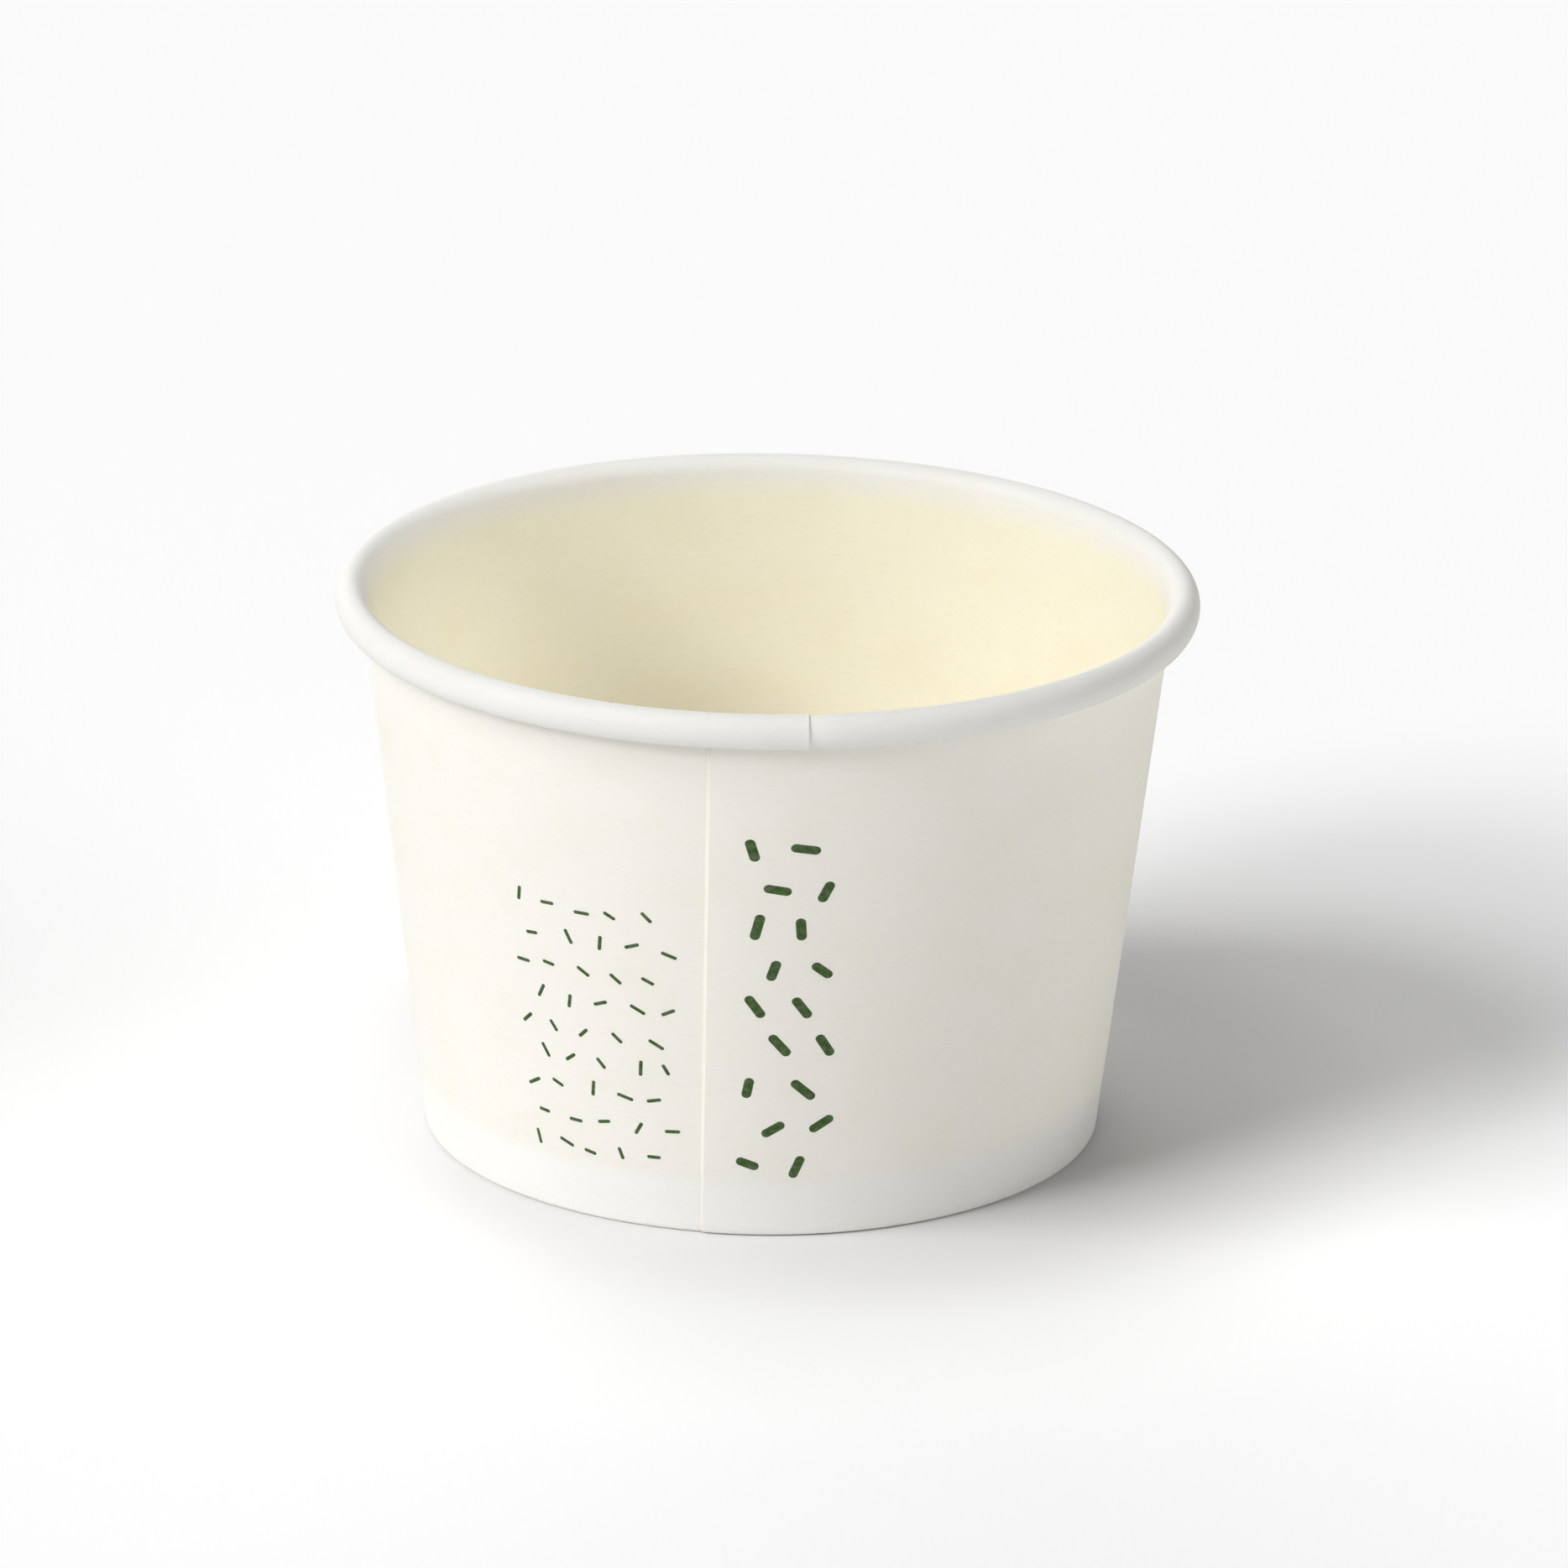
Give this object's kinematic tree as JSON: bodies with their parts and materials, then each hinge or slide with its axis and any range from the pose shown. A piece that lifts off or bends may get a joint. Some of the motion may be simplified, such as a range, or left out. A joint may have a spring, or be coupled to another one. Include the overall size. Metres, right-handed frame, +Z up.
{
  "type": "paper ice cream cup",
  "caption": "Small open paper cup for a scoop of ice cream: tapered board wall with a side lap, rolled rim and a recessed board bottom",
  "frame": {"origin": "centre of the foot's circle, on the surface the cup stands on", "axes": "+Z up along the cup's axis, -Y towards the side lap at the front, +X to the right seen from the front"},
  "size_m": [0.076, 0.076, 0.05],
  "materials": {
    "wall_board": "matte",
    "bottom_board": "satin"
  },
  "bodies": {
    "root": {"side_wall": "wall_board", "bottom_disc": "bottom_board"}
  },
  "joints": []
}
